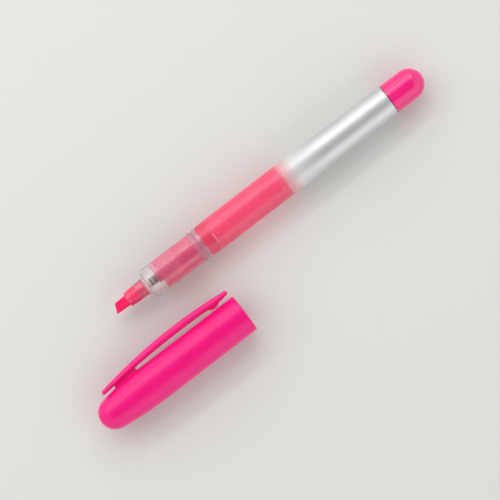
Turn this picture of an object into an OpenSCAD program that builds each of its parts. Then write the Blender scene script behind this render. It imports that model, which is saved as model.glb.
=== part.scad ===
// Free-ink highlighter pen lying on its side, with its cap taken off and laid beside it.
// Millimetres. The pen points along -X with its tail at +X, the cap lies on the -Y side, and Z is up
// from the surface that both lie on. Stations along the pen are counted from the tip of the nib, and
// stations along the cap from the tip of its dome.

/* [Nib] */
// Diameter of the round fibre rod that the nib is cut from
nib_d = 3.5; // [3:0.1:4]
// How far the nib stands out of the nose
nib_reach = 5.2; // [4:0.1:7]
// Width of the chisel across its writing edge
nib_tip_w = 3.1; // [2.4:0.1:3.3]
// How far the writing edge slopes back from its leading corner
nib_slant = 1.35; // [0.5:0.05:2]
// Thickness of the writing edge
nib_edge = 0.9; // [0.5:0.1:1.5]
// Thickness of the chisel where it leaves the nose
nib_back = 2.9; // [2:0.1:3.2]
// Length of the shank inside the nose
nib_shank_l = 4.3; // [3:0.1:5]

/* [Nose and section] */
// Diameter of the nose at its lip
nose_lip_d = 4.9; // [4.5:0.1:5.4]
// Diameter of the nose where the shoulder begins
nose_base_d = 5.9; // [5.4:0.1:6.6]
// Length of the nose
nose_l = 7.1; // [6:0.1:10]
// Length of the shoulder that flares from the nose to the section
shoulder_l = 1.6; // [1:0.1:3]
// Outside diameter of the section, which the cap slides over
section_d = 10.1; // [9.6:0.1:10.4]
// Length of the section from the shoulder to the collar
section_l = 18; // [15:0.5:24]
// Wall of the section round the collector
section_wall = 0.85; // [0.6:0.05:1.1]
// Wall of the shoulder, measured along the pen
shoulder_wall = 0.65; // [0.6:0.05:1.2]
// Diameter of the collar that stops the cap
collar_d = 10.6; // [10.4:0.1:11]
// Length of the collar
collar_l = 1.2; // [0.8:0.1:2]
// Diameter of the groove between the collar and the barrel
groove_d = 9.9; // [9.7:0.1:10.2]
// Length of the groove
groove_l = 0.8; // [0.5:0.1:1.5]
// Wall of the spigot that goes into the barrel
spigot_wall = 0.5; // [0.4:0.05:0.6]
// Length of the spigot
spigot_l = 5.1; // [4:0.1:8]

/* [Collector] */
// Diameter of the collector's core between its fins
core_d = 3.8; // [3.2:0.1:5]
// Diameter of the neck that reaches into the nose
neck_d = 2.6; // [2.2:0.1:3]
// Gap between the nib's shank and the neck, which the wick bridges
neck_gap = 0.5; // [0.2:0.1:0.8]
// Length of the seat that holds the neck in the nose
neck_seat_l = 0.6; // [0.4:0.1:1]
// Gap between the shoulder's end and the first fin
comb_gap = 3; // [2.6:0.1:4]
// Gap between the ring round the neck and the first fin
ring_gap = 1.45; // [1:0.05:1.6]
// Thickness of the ring round the neck
ring_t = 0.35; // [0.2:0.05:0.6]
// Pitch of the coarse fins at the front
coarse_pitch = 0.6; // [0.5:0.05:0.9]
// Thickness of a coarse fin
coarse_fin_t = 0.3; // [0.2:0.02:0.4]
// Length of the coarse group of fins
coarse_l = 8.2; // [5:0.1:12]
// Pitch of the fine fins at the rear
fine_pitch = 0.45; // [0.35:0.05:0.6]
// Thickness of a fine fin
fine_fin_t = 0.22; // [0.15:0.01:0.3]
// Clear space between the last fin and the bulkhead
comb_back = 0.6; // [0.3:0.1:1.5]
// Thickness of the bulkhead that shuts the ink tank
bulkhead_t = 1.2; // [0.8:0.1:2]
// Diameter of the tail tube that reaches into the ink
tail_tube_d = 3.4; // [2.8:0.1:5]
// Length of the tail tube behind the bulkhead
tail_tube_l = 6.3; // [4:0.1:12]
// Width of the air slot along the fins
air_slot_w = 0.8; // [0.4:0.1:1.4]
// Length of the air notch in the first fins
air_notch_l = 1.3; // [0.6:0.1:3]
// Diameter of the fibre wick through the collector
wick_d = 1.6; // [1:0.1:2]
// How far the wick stands out of the tail tube
wick_out = 0.5; // [0.2:0.1:2]

/* [Barrel] */
// Length of the barrel
barrel_l = 74.3; // [65:0.1:90]
// Diameter of the barrel at its front rim
barrel_front_d = 10.5; // [10.4:0.1:10.8]
// Largest diameter of the barrel
barrel_d = 10.9; // [10.7:0.1:11.6]
// Diameter of the barrel at its tail
barrel_tail_d = 10; // [9.8:0.1:10.6]
// Length over which the barrel swells behind its rim
swell_l = 9.1; // [5:0.1:14]
// Length of the straight part behind the swell
straight_l = 25; // [18:0.5:32]
// Diameter of the bore at the tail
tail_bore_d = 8.6; // [8:0.1:8.8]
// Length of the straight bore at the tail
tail_bore_l = 8; // [8:0.1:12]

/* [Ink tank] */
// Length from the barrel's front rim to the stopper
tank_l = 35.1; // [28:0.1:45]
// Length of the stopper
stopper_l = 3; // [2:0.1:5]
// Wall of the stopper
stopper_wall = 0.8; // [0.5:0.1:1.2]

/* [Film] */
// How far the film reaches forward over the straight part of the barrel
film_lead = 2.1; // [0.5:0.1:12]
// Thickness of the film, which lies flush in the barrel
film_t = 0.06; // [0.04:0.01:0.1]
// Bare width of the barrel between the film and the tail plug
film_bare = 0.4; // [0.2:0.1:1]

/* [Tail plug] */
// Diameter of the plug
plug_d = 10; // [9.4:0.1:10.2]
// Length of the plug from the barrel to the tip of its dome
plug_l = 12.8; // [9:0.1:18]
// Length of the plug's spigot in the barrel
plug_spigot_l = 7; // [4:0.1:7.5]
// Wall of the plug
plug_wall = 1.2; // [0.8:0.1:2]

/* [Cap] */
// Length of the cap
cap_l = 56.5; // [52:0.5:64]
// Diameter of the cap
cap_d = 12.8; // [12.2:0.1:13.6]
// Radius of the dome at the closed end
cap_dome_r = 5.3; // [4.8:0.1:5.6]
// Length over which the cap tapers to its dome
cap_taper_l = 21; // [17:0.5:28]
// How much deeper the cap's bore is than the section is long
cap_bore_spare = 2.6; // [2:0.1:4]
// Wall of the cap at its dome
cap_wall = 1.3; // [1:0.1:1.8]
// Diameter of the cavity ahead of the bore, which holds the liner
cavity_d = 9.2; // [8.6:0.1:9.6]
// Rounding of the mouth's edge
mouth_round = 0.3; // [0.1:0.05:0.5]

/* [Liner] */
// Wall of the liner
liner_wall = 0.9; // [0.6:0.1:1.2]
// Free length ahead of the nib inside the liner
liner_spare = 3.1; // [1.5:0.1:5]
// Length of the liner's flange
liner_flange_l = 1.5; // [1:0.1:3]

/* [Clip] */
// Width of the clip at its root
clip_w = 4.8; // [4:0.1:6]
// Width of the clip at its tip
clip_tip_w = 3.6; // [3:0.1:4.4]
// Height of the clip's crest over the cap
clip_rise = 4.02; // [3.6:0.02:4.6]
// Station of the crest along the cap
clip_crest_at = 36; // [28:0.5:40]
// Radius of the clip's outer bow
clip_outer_r = 168; // [150:1:240]
// Largest gap between the clip and the cap
clip_gap = 1.46; // [1.3:0.02:1.8]
// Station of the largest gap along the cap
clip_gap_at = 37; // [34:0.5:44]
// Radius of the clip's inner bow
clip_inner_r = 310; // [280:10:500]
// Station where the clip's tail begins
clip_tail_at = 5.75; // [4.5:0.25:8]
// Distance of the clip's tip from the mouth of the cap
clip_tip_back = 0.6; // [0.2:0.1:4]
// Length of the lead-in under the clip's tip
lead_l = 3.6; // [2:0.1:3.8]
// How far the lead-in rises
lead_h = 0.45; // [0.2:0.05:0.6]
// Station where the web under the clip begins
web_at = 10.2; // [9:0.1:12]
// Length of the web
web_l = 8.4; // [6:0.1:10]
// Width of the web
web_w = 2; // [1.6:0.1:4]
// Distance of the nub from the mouth of the cap
nub_back = 6.6; // [5:0.1:12]
// Length of the nub along the clip
nub_l = 4.4; // [3:0.1:5]
// Height of the nub under the clip
nub_h = 0.85; // [0.6:0.05:1]

/* [Layout] */
// Distance between the axes of the pen and of the cap where they lie
cap_side = 25.4; // [20:0.1:40]
// How far the cap's mouth lies behind the collar's front face
cap_lag = 0.1; // [0:0.1:8]

/* [Fits] */
// Clearance of pieces that are pressed together
press_clear = 0.02; // [0.01:0.01:0.04]
// Clearance of the cap's bore round the section
slide_clear = 0.1; // [0.05:0.01:0.15]
// Clearance of the fins in the section
fin_clear = 0.02; // [0.01:0.01:0.2]
// Clearance of the clip's knuckle in its seat
knuckle_clear = 0.05; // [0.03:0.01:0.1]
// Clearance of the film in its recess
film_clear = 0.005; // [0.002:0.001:0.01]

/* [Hidden] */
$fn = 96;

// Colours
hot_pink = [0.93, 0.09, 0.46];
nib_pink = [0.98, 0.12, 0.38];
ink_pink = [0.96, 0.36, 0.5, 0.8];
stained_pink = [0.93, 0.5, 0.62];
clear_plastic = [0.9, 0.91, 0.92, 0.35];
silver = [0.78, 0.79, 0.81];
milky_white = [0.92, 0.9, 0.88];

// Stations along the pen, from the tip of the nib
lip_x = nib_reach;
shoulder_x = lip_x + nose_l;
section_x = shoulder_x + shoulder_l;
collar_x = section_x + section_l;
groove_x = collar_x + collar_l;
barrel_x = groove_x + groove_l;
spigot_x = barrel_x + spigot_l;
tail_x = barrel_x + barrel_l;
pen_l = tail_x + plug_l;
shank_x = lip_x + nib_shank_l;
neck_x = shank_x + neck_gap;
bulkhead_x = barrel_x;
ink_x = bulkhead_x + bulkhead_t;
tail_tube_x = ink_x + tail_tube_l;
comb_x = section_x + comb_gap;
fine_x = comb_x + coarse_l;
comb_end_x = bulkhead_x - comb_back;
stopper_x = barrel_x + tank_l;
film_end_x = tail_x - film_bare;
straight_x = barrel_x + swell_l;
taper_x = straight_x + straight_l;
film_x = taper_x - film_lead;
bore_taper_x = stopper_x + stopper_l;
tail_bore_x = tail_x - tail_bore_l;

// Radii of the pen
nib_bore_r = nib_d / 2 + press_clear;
neck_seat_r = nib_d / 2 - press_clear;
chamber_r = section_d / 2 - section_wall;
fin_r = chamber_r - fin_clear;
bulkhead_r = chamber_r - press_clear;
spigot_r = chamber_r + spigot_wall;
bore_r = spigot_r + press_clear;
tail_bore_r = tail_bore_d / 2;
wick_bore_r = wick_d / 2 + press_clear;
barrel_r = barrel_d / 2;

// Station of the shoulder's inside at a radius, which follows its outside
function inside_shoulder(r) =
    shoulder_x + shoulder_wall + (r - nose_base_d / 2) * shoulder_l / (section_d / 2 - nose_base_d / 2);
nib_bore_x = inside_shoulder(nib_bore_r);

// Stations and radii of the cap, from the tip of its dome
cap_r = cap_d / 2;
cap_bore_r = section_d / 2 + slide_clear;
cap_bore_l = section_l + cap_bore_spare;
cap_bore_x = cap_l - cap_bore_l;
cavity_r = cavity_d / 2;
cap_taper_r = ((cap_taper_l - cap_dome_r) ^ 2 / (cap_r - cap_dome_r) + cap_dome_r + cap_r) / 2;
cap_taper_tilt = asin((cap_taper_l - cap_dome_r) / (cap_taper_r - cap_dome_r));
cavity_dome_r = cap_dome_r - cap_wall;
liner_bore_r = nose_base_d / 2 + press_clear;
liner_r = liner_bore_r + liner_wall;
liner_depth = collar_x - cap_bore_l + liner_spare;
liner_x = cap_bore_x - liner_depth;

// The clip's two bows and its ends
clip_tip_x = cap_l - clip_tip_back;
web_x = web_at + web_l;
knuckle_back = 0.75;
knuckle_x = web_x + knuckle_back;
nub_x = cap_l - nub_back;
bow_fn = 1440;
function bow_outer(s) = cap_r + clip_rise - clip_outer_r + sqrt(clip_outer_r ^ 2 - (s - clip_crest_at) ^ 2);
function bow_inner(s) = cap_r + clip_gap - clip_inner_r + sqrt(clip_inner_r ^ 2 - (s - clip_gap_at) ^ 2);
function bow_mid(s) = (bow_outer(s) + bow_inner(s)) / 2;
function bow_half(s) = (bow_outer(s) - bow_inner(s)) / 2;
function end_round(s, way) = let (near = bow_half(s)) bow_half(s + way * near);
tail_round = end_round(clip_tail_at, 1);
tip_round = end_round(clip_tip_x, -1);
tail_end_x = clip_tail_at + tail_round;
tip_end_x = clip_tip_x - tip_round;
knuckle_r = bow_half(knuckle_x);
web_front_slope = 0.6;
web_rear_slope = 0.25;

// The origin lies under the middle of the box round the pen and the cap
cap_mouth_x = collar_x + cap_lag;
cap_tip_x = cap_mouth_x - cap_l;
middle_x = (min(0, cap_tip_x) + max(pen_l, cap_mouth_x)) / 2;
middle_y = (barrel_r - cap_side - cap_r) / 2;

// Overshoot of cutting shapes
slack = 1;

// Carries shapes from the pen's own frame, nib tip at zero, to where the pen lies
module at_pen() {
    translate([-middle_x, -middle_y, barrel_r]) children();
}

// Carries shapes from the cap's own frame, dome tip at zero, to where the cap lies
module at_cap() {
    translate([cap_tip_x - middle_x, -cap_side - middle_y, cap_r]) children();
}

// Turns a radius and station outline round the X axis
module turned(outline) {
    rotate([0, 90, 0]) rotate_extrude() polygon(outline);
}

// Points of an arc from one angle to another, as [radius, station]
function arc(centre, r, from, to, steps) =
    [for (i = [0 : steps]) let (a = from + (to - from) * i / steps) centre + r * [sin(a), -cos(a)]];

// A straight rod along the X axis
module rod(from, to, r) {
    translate([from, 0, 0]) rotate([0, 90, 0]) cylinder(h = to - from, r = r);
}

// The chisel seen on its broad face
module nib_face() {
    half = nib_tip_w / 2;
    polygon([[0, -half], [nib_slant, half], [lip_x, nib_d / 2], [lip_x + slack, nib_d / 2],
             [lip_x + slack, -nib_d / 2], [lip_x, -nib_d / 2]]);
}

// The chisel seen from its side
module nib_wedge() {
    polygon([[0, -nib_edge / 2], [0, nib_edge / 2], [lip_x, nib_back / 2], [lip_x, -nib_back / 2]]);
}

module nib() {
    color(nib_pink) at_pen() {
        intersection() {
            rod(0, lip_x, nib_d / 2);
            translate([0, 0, -nib_d]) linear_extrude(2 * nib_d) nib_face();
            translate([0, nib_d, 0]) rotate([90, 0, 0]) linear_extrude(2 * nib_d) nib_wedge();
        }
        rod(lip_x, shank_x, nib_d / 2);
    }
}

module front_section() {
    lip_round = 0.2;
    shoulder_bevel = 0.4;
    color(clear_plastic) at_pen() turned([
        [nib_bore_r, lip_x],
        [nose_lip_d / 2 - lip_round, lip_x],
        [nose_lip_d / 2, lip_x + lip_round],
        [nose_base_d / 2, shoulder_x],
        [section_d / 2 - shoulder_bevel, section_x - shoulder_bevel],
        [section_d / 2, section_x],
        [section_d / 2, collar_x],
        [collar_d / 2, collar_x],
        [collar_d / 2, groove_x],
        [groove_d / 2, groove_x],
        [groove_d / 2, barrel_x],
        [spigot_r, barrel_x],
        [spigot_r, spigot_x],
        [chamber_r, spigot_x],
        [chamber_r, inside_shoulder(chamber_r)],
        [nib_bore_r, nib_bore_x]]);
}

// Corners of a run of fins, from one station up to another
function fins(from, to, pitch, t) =
    [for (x = [from : pitch : to - t])
        each [[core_d / 2, x], [fin_r, x], [fin_r, x + t], [core_d / 2, x + t]]];

// Corners of a round step on the neck, from one station to another
function neck_step(from, to) =
    [[neck_d / 2, from], [neck_seat_r, from], [neck_seat_r, to], [neck_d / 2, to]];

module collector() {
    ring_x = comb_x - ring_gap;
    color(stained_pink) at_pen() difference() {
        turned(concat(
            [[wick_bore_r, neck_x], [neck_d / 2, neck_x]],
            neck_step(nib_bore_x - neck_seat_l, nib_bore_x),
            neck_step(ring_x - ring_t, ring_x),
            [[neck_d / 2, comb_x]],
            fins(comb_x, fine_x, coarse_pitch, coarse_fin_t),
            fins(fine_x, comb_end_x, fine_pitch, fine_fin_t),
            [[core_d / 2, bulkhead_x], [bulkhead_r, bulkhead_x], [bulkhead_r, ink_x],
             [tail_tube_d / 2, ink_x], [tail_tube_d / 2, tail_tube_x], [wick_bore_r, tail_tube_x]]));
        translate([comb_x - slack, -air_slot_w / 2, -fin_r - slack])
            cube([comb_end_x - comb_x + slack, air_slot_w, fin_r + slack - core_d / 2]);
        translate([comb_x - slack, -fin_r - slack, -fin_r])
            cube([air_notch_l + slack, fin_r + slack - core_d / 2, 2 * fin_r]);
    }
}

module feed_wick() {
    color(nib_pink) at_pen() rod(shank_x, tail_tube_x + wick_out, wick_d / 2);
}

// Radius of the barrel's outside where it tapers to the tail
function taper_r(x) = barrel_r + (barrel_tail_d / 2 - barrel_r) * max(0, x - taper_x) / (tail_x - taper_x);

module barrel() {
    color(clear_plastic) at_pen() turned([
        [bore_r, barrel_x],
        [barrel_front_d / 2, barrel_x],
        [barrel_r, straight_x],
        [barrel_r, film_x],
        [barrel_r - film_t, film_x],
        [barrel_r - film_t, taper_x],
        [taper_r(film_end_x) - film_t, film_end_x],
        [taper_r(film_end_x), film_end_x],
        [barrel_tail_d / 2, tail_x],
        [tail_bore_r, tail_x],
        [tail_bore_r, tail_bore_x],
        [bore_r, bore_taper_x]]);
}

module silver_film() {
    depth = film_t - film_clear;
    front_x = film_x + film_clear;
    end_x = film_end_x - film_clear;
    color(silver) at_pen() turned([
        [barrel_r - depth, front_x],
        [barrel_r, front_x],
        [barrel_r, taper_x],
        [taper_r(end_x), end_x],
        [taper_r(end_x) - depth, end_x],
        [barrel_r - depth, taper_x]]);
}

module ink() {
    tube_r = tail_tube_d / 2 + press_clear;
    wick_r = wick_d / 2 + press_clear;
    color(ink_pink) at_pen() turned([
        [tube_r, ink_x + press_clear],
        [chamber_r - press_clear, ink_x + press_clear],
        [chamber_r - press_clear, spigot_x + press_clear],
        [spigot_r, spigot_x + press_clear],
        [spigot_r, stopper_x - press_clear],
        [0, stopper_x - press_clear],
        [0, tail_tube_x + wick_out + press_clear],
        [wick_r, tail_tube_x + wick_out + press_clear],
        [wick_r, tail_tube_x + press_clear],
        [tube_r, tail_tube_x + press_clear]]);
}

module tank_stopper() {
    color(clear_plastic) at_pen() turned([
        [0, stopper_x],
        [spigot_r, stopper_x],
        [spigot_r, bore_taper_x],
        [spigot_r - stopper_wall, bore_taper_x],
        [spigot_r - stopper_wall, stopper_x + stopper_wall],
        [0, stopper_x + stopper_wall]]);
}

module tail_plug() {
    plug_r = plug_d / 2;
    spigot_start = tail_x - plug_spigot_l;
    core_r = tail_bore_r - press_clear - plug_wall;
    dome_x = pen_l - plug_r;
    color(hot_pink) at_pen() difference() {
        union() {
            rod(spigot_start, tail_x, tail_bore_r - press_clear);
            rod(tail_x, dome_x, plug_r);
            intersection() {
                translate([dome_x, 0, 0]) sphere(plug_r);
                rod(dome_x, pen_l + slack, plug_r + slack);
            }
        }
        rod(spigot_start - slack, dome_x, core_r);
        translate([dome_x, 0, 0]) sphere(core_r);
    }
}

// The cap's outside and cavity, turned round its axis
module cap_body() {
    round_steps = 6;
    dome = arc([0, cap_dome_r], cap_dome_r, 0, 90 - cap_taper_tilt, 24);
    taper = arc([cap_r - cap_taper_r, cap_taper_l], cap_taper_r, 90 - cap_taper_tilt, 90, 24);
    mouth = arc([cap_r - mouth_round, cap_l - mouth_round], mouth_round, 90, 180, round_steps);
    lip = arc([cap_bore_r + mouth_round, cap_l - mouth_round], mouth_round, 180, 270, round_steps);
    cavity = arc([0, cap_dome_r], cavity_dome_r, 90, 0, 16);
    turned(concat(dome, taper, mouth, lip,
        [[cap_bore_r, cap_bore_x], [cavity_r, cap_bore_x], [cavity_r, cap_taper_l]], cavity));
}

// A long prism seen along Z
module slab(w) {
    translate([0, 0, -w / 2]) linear_extrude(w) children();
}

// The space between the clip's two bows, from one station to another, tapering in width to the tip
module bow(from, to) {
    intersection() {
        difference() {
            translate([clip_crest_at, cap_r + clip_rise - clip_outer_r, -clip_w])
                cylinder(h = 2 * clip_w, r = clip_outer_r, $fn = bow_fn);
            translate([clip_gap_at, cap_r + clip_gap - clip_inner_r, -2 * clip_w])
                cylinder(h = 4 * clip_w, r = clip_inner_r, $fn = bow_fn);
        }
        translate([from, 0, -clip_w]) cube([to - from, cap_r + clip_rise + slack, 2 * clip_w]);
        clip_plan();
    }
}

// The clip seen from outside the cap: its width tapers evenly from root to tip
module clip_plan() {
    rotate([-90, 0, 0]) linear_extrude(cap_r + clip_rise + slack)
        polygon([[0, -clip_w / 2], [knuckle_x, -clip_w / 2], [cap_l, -clip_tip_w / 2],
                 [cap_l, clip_tip_w / 2], [knuckle_x, clip_w / 2], [0, clip_w / 2]]);
}

// A round bar across the clip
module cross_round(x, r) {
    intersection() {
        translate([x, bow_mid(x), -clip_w]) cylinder(h = 2 * clip_w, r = r);
        clip_plan();
    }
}

// The clip's tail and web, moulded on the cap
module clip_root() {
    web_foot = cap_bore_r + slide_clear;
    difference() {
        union() {
            bow(tail_end_x, web_x);
            cross_round(tail_end_x, tail_round);
            slab(web_w) polygon([[web_at - web_front_slope, web_foot], [web_x - web_rear_slope, web_foot],
                                 [web_x, bow_mid(web_x)], [web_at, bow_mid(web_at)]]);
        }
        translate([knuckle_x, bow_mid(knuckle_x), -2 * clip_w])
            cylinder(h = 4 * clip_w, r = knuckle_r + knuckle_clear);
    }
}

module cap_shell() {
    color(hot_pink) at_cap() union() {
        cap_body();
        clip_root();
    }
}

module inner_cap() {
    color(milky_white) at_cap() turned([
        [0, liner_x - liner_wall],
        [liner_r, liner_x - liner_wall],
        [liner_r, cap_bore_x - liner_flange_l],
        [cavity_r - press_clear, cap_bore_x - liner_flange_l],
        [cavity_r - press_clear, cap_bore_x],
        [liner_bore_r, cap_bore_x],
        [liner_bore_r, liner_x],
        [0, liner_x]]);
}

// Half ball under the clip that grips the edge of a page or pocket
module nub() {
    ball_r = ((nub_l / 2) ^ 2 + nub_h ^ 2) / (2 * nub_h);
    foot = bow_inner(nub_x) - nub_h;
    intersection() {
        translate([nub_x, foot + ball_r, 0]) sphere(ball_r);
        translate([nub_x - nub_l, foot - slack, -clip_w]) cube([2 * nub_l, bow_mid(nub_x) - foot + slack, 2 * clip_w]);
        clip_plan();
    }
}

// What is cut from under the clip's tip, so that a page slips in
module lead_in() {
    from = clip_tip_x - lead_l;
    to = clip_tip_x + slack;
    slab(2 * clip_w) polygon([[from, bow_inner(from)], [from, cap_r],
                              [to, cap_r], [to, bow_inner(from) + lead_h * (to - from) / lead_l]]);
}

module clip_arm() {
    color(hot_pink) at_cap() difference() {
        union() {
            bow(knuckle_x, tip_end_x);
            cross_round(knuckle_x, knuckle_r);
            cross_round(tip_end_x, tip_round);
            nub();
        }
        lead_in();
    }
}

nib();
front_section();
collector();
feed_wick();
barrel();
ink();
tank_stopper();
silver_film();
tail_plug();
cap_shell();
inner_cap();
clip_arm();
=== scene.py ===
from math import asin, cos, pi, radians, sin, sqrt, tan

import bpy
from mathutils import Matrix, Vector


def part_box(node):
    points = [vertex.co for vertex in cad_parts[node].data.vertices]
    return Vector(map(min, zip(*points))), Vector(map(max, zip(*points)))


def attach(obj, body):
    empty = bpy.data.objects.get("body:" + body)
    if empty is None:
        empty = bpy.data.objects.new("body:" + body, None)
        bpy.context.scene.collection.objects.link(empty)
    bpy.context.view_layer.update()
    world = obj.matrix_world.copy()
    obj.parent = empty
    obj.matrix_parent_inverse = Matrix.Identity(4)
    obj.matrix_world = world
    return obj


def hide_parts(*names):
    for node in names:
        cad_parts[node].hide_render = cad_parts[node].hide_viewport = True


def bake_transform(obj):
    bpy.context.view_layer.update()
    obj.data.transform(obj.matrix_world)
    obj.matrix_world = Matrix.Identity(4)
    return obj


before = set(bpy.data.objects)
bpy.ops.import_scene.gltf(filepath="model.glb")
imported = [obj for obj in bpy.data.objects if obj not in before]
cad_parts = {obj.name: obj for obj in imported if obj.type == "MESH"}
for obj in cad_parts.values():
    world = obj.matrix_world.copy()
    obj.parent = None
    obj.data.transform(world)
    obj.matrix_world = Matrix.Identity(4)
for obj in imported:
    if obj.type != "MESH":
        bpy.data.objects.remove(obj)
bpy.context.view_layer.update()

# Table, lights and camera
# The pen and its cap lie on a plain pale table, seen from straight above. Two long soft boxes light them,
# the stronger one from beyond the pen, and a narrow strip by each adds a crisper line of gloss. The near
# wall is brighter than the far one, and the ceiling is dark, with its middle a little to the near side.
mm = 0.001
photo_side = 500
pixels_per_mm = 3.2
view_middle = Vector((-3.15 * mm, 2.31 * mm))
view_turn = radians(-37.54)
view_height = 0.7
outline_height = 5.9 * mm
sensor_width = 36
table_side = 4.0
table_colour = (0.72, 0.728, 0.703, 1)
box_length = 1.5
box_distance = 0.6
far_wall_grey = 0.8
near_wall_grey = 1.06
wall_change = (-0.4, 0.4)
ceiling_grey = 0.26
ceiling_lean = radians(-9)
ceiling_edge = (cos(radians(41)), cos(radians(26)))
light_bounces = 24
clear_bounces = 32


def soft_box(name, lean, width, watts):
    """Hangs a long soft box that leans over the table by an angle from straight overhead."""
    place = (0, box_distance * sin(lean), box_distance * cos(lean))
    bpy.ops.object.light_add(type="AREA", location=place, rotation=(-lean, 0, 0))
    lamp = bpy.context.object
    lamp.name = name
    lamp.data.shape = "RECTANGLE"
    lamp.data.size = box_length
    lamp.data.size_y = width
    lamp.data.energy = watts
    lamp.visible_camera = False


soft_box("key_box", lean=radians(53), width=0.64, watts=2.65)
soft_box("key_strip", lean=radians(46), width=0.045, watts=0.72)
soft_box("fill_box", lean=radians(-76), width=0.45, watts=0.65)
soft_box("fill_strip", lean=radians(-43), width=0.03, watts=0.18)


def set_inputs(tree, node, inputs):
    """Sets a node's inputs to values, or joins them to sockets."""
    for name, value in inputs.items():
        if isinstance(value, bpy.types.NodeSocket):
            tree.links.new(value, node.inputs[name])
        else:
            node.inputs[name].default_value = value


def add_node(tree, kind, inputs, **settings):
    """Adds a node with its settings and its inputs."""
    node = tree.nodes.new("ShaderNode" + kind)
    for name, value in settings.items():
        setattr(node, name, value)
    set_inputs(tree, node, inputs)
    return node


def in_range(tree, value, low, high, to_low, to_high):
    """Socket that carries a value from one range over to another, held at its ends."""
    inputs = {"Value": value, "From Min": low, "From Max": high, "To Min": to_low, "To Max": to_high}
    return add_node(tree, "MapRange", inputs).outputs["Result"]


def new_finish(name):
    """A material, its node tree and its shader."""
    finish = bpy.data.materials.new(name)
    finish.use_nodes = True
    return finish, finish.node_tree, finish.node_tree.nodes["Principled BSDF"]


room = bpy.data.worlds.new("room")
room.use_nodes = True
tree = room.node_tree
direction = add_node(tree, "TexCoord", {}).outputs["Generated"]
to_far = add_node(tree, "SeparateXYZ", {"Vector": direction}).outputs["Y"]
walls = in_range(tree, to_far, *wall_change, near_wall_grey, far_wall_grey)
overhead = (0, sin(ceiling_lean), cos(ceiling_lean))
upward = add_node(tree, "VectorMath", {0: direction, 1: overhead}, operation="DOT_PRODUCT")
brightness = in_range(tree, upward.outputs["Value"], *ceiling_edge, walls, ceiling_grey)
set_inputs(tree, tree.nodes["Background"], {"Color": (1, 1, 1, 1), "Strength": brightness})
bpy.context.scene.world = room

bpy.ops.object.select_all(action="DESELECT")
bpy.ops.mesh.primitive_plane_add(size=table_side)
table = bpy.context.object
table.name = "table"
pale_table, tree, shader = new_finish("pale_table")
set_inputs(tree, shader, {
    "Base Color": table_colour,
    "Roughness": 0.9,
    "Specular IOR Level": 0.1,
})
table.data.materials.append(pale_table)

bpy.ops.object.camera_add(location=(*view_middle, view_height), rotation=(0, 0, view_turn))
camera = bpy.context.object
camera.data.sensor_width = sensor_width
camera.data.lens = sensor_width * (view_height - outline_height) / (photo_side / pixels_per_mm * mm)
bpy.context.scene.camera = camera
bpy.context.scene.view_settings.view_transform = "Standard"
bpy.context.scene.cycles.max_bounces = light_bounces
bpy.context.scene.cycles.transmission_bounces = light_bounces
bpy.context.scene.cycles.transparent_max_bounces = clear_bounces

# Front section
# One clear moulding: the nose that grips the nib, the shoulder, the tube round the collector, the collar
# that stops the cap, and a spigot pressed into the barrel. Polished, with faint marks from the cap.
section_low, section_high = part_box("front_section")
barrel_low, barrel_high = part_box("barrel")
pen_axis = ((barrel_low.y + barrel_high.y) / 2, (barrel_low.z + barrel_high.z) / 2)
lip_x = section_low.x
shoulder_x = lip_x + 7.1 * mm
section_x = shoulder_x + 1.6 * mm
collar_x = section_x + 18 * mm
groove_x = collar_x + 1.2 * mm
rim_x = barrel_low.x
spigot_end_x = section_high.x
nib_bore_r = 1.77 * mm
lip_r = 2.45 * mm
nose_base_r = 2.95 * mm
section_r = 5.05 * mm
chamber_r = 4.2 * mm
collar_r = 5.3 * mm
groove_r = 4.95 * mm
spigot_r = 4.7 * mm
shoulder_wall = 0.65 * mm
shoulder_lead = 0.05 * mm
nose_round = 1.6 * mm
shoulder_round = 0.7 * mm
chamber_round = 0.6 * mm
edge_round = 0.25 * mm
seat_round = 0.2 * mm
lip_bore_round = 0.15 * mm
spigot_bore_round = 0.12 * mm
fine_round = 0.1 * mm
rim_round = 0.05 * mm
turn_steps = 96
arc_step = radians(15)
crease = radians(40)
merge_gap = 0.001 * mm
clear_tint = (0.975, 0.98, 0.978, 1)
clear_ior = 1.5
# A pair of values or colours holds the two ends that a pattern, such as the scratches, blends between,
# and a span holds where in the pattern's own range that blend starts and ends.
clear_roughness = (0.15, 0.3)
haze_span = (0.35, 0.75)
haze_roughness = 0.03


def rounded(corners):
    """Outline of (station, radius) points, with an arc where a corner gives a third value, its radius."""
    outline = []
    for i, (x, r, *fillet) in enumerate(corners):
        here = Vector((x, r))
        if not fillet:
            outline.append(here)
            continue
        back = (Vector(corners[i - 1][:2]) - here).normalized()
        ahead = (Vector(corners[(i + 1) % len(corners)][:2]) - here).normalized()
        opening = back.angle(ahead)
        centre = here + (back + ahead).normalized() * fillet[0] / sin(opening / 2)
        start = here + back * fillet[0] / tan(opening / 2) - centre
        sweep = (pi - opening) * (1 if back.cross(ahead) < 0 else -1)
        count = max(2, round(abs(sweep) / arc_step))
        outline += [centre + Matrix.Rotation(sweep * k / count, 2) @ start for k in range(count + 1)]
    return outline


def trace(name, points):
    """Extrudes a point along a line of points, and leaves the line selected in edit mode."""
    bpy.ops.object.select_all(action="DESELECT")
    bpy.ops.mesh.primitive_plane_add(size=mm)
    piece = bpy.context.object
    piece.name = name
    bpy.ops.object.mode_set(mode="EDIT")
    bpy.ops.mesh.merge(type="CENTER")
    bpy.ops.transform.translate(value=points[0])
    for here, there in zip(points, points[1:]):
        bpy.ops.mesh.extrude_vertices_move(TRANSFORM_OT_translate={"value": there - here})
    bpy.ops.mesh.select_all(action="SELECT")
    return piece


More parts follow.
